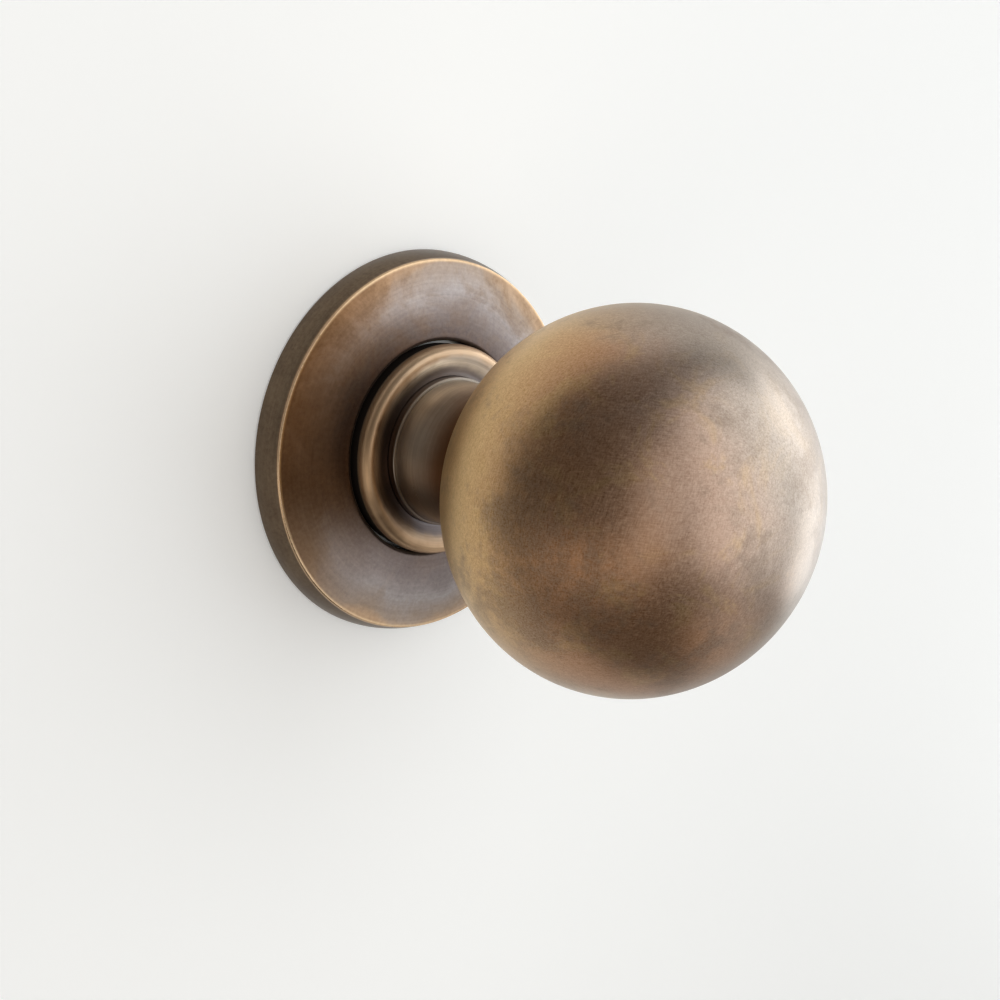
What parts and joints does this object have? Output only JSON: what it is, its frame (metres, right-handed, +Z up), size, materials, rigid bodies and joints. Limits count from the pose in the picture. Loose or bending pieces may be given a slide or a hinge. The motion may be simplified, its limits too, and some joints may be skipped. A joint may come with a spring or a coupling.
{
  "type": "door knob",
  "caption": "Ball door knob on a short neck with a beaded collar and a round rosette, sprung to return, with its spindle and through bolts.",
  "frame": {"origin": "centre of the rosette's back, on the door's surface and the knob's axis", "axes": "the knob stands out along -Y, the spindle and bolts run into the door along +Y, +Z is up and +X is to the right seen from the room"},
  "size_m": [0.0636, 0.1265, 0.0636],
  "materials": {
    "aged_brass": "aged, brushed, worn bright on the edges",
    "dark_brass": "dark patina, satin",
    "collar_brass": "satin, bead worn bright",
    "bush_brass": "machined",
    "plated_steel": "zinc plated",
    "dark_steel": "black oxide",
    "nylon": "natural"
  },
  "bodies": {
    "rose_side": {"rosette": "aged_brass", "mounting_plate": "plated_steel", "bush": "bush_brass", "spring_housing": "plated_steel", "housing_screw_top": "plated_steel", "housing_screw_bottom": "plated_steel", "return_spring": "dark_steel", "anchor_post": "plated_steel", "stop_pin_left": "plated_steel", "stop_pin_right": "plated_steel", "fixing_bolt_left": "plated_steel", "fixing_bolt_right": "plated_steel", "rose_clip_1": "plated_steel", "rose_clip_2": "plated_steel", "rose_clip_3": "plated_steel", "clip_rivet_1": "plated_steel", "clip_rivet_2": "plated_steel", "clip_rivet_3": "plated_steel"},
    "knob": {"ball": "aged_brass", "neck": "dark_brass", "collar": "collar_brass", "spindle": "plated_steel", "set_screw": "dark_steel", "cam": "bush_brass", "drive_pin": "plated_steel", "thrust_washer": "nylon", "wave_washer": "plated_steel", "circlip": "dark_steel"}
  },
  "joints": [
    {"name": "knob_turn", "type": "hinge", "parent": "rose_side", "child": "knob", "pos_m": [0, 0, 0], "axis": [0, 1, 0], "range_deg": [-60, 60], "stiffness_Nm_per_rad": 0.4, "deforming": ["return_spring"]}
  ]
}
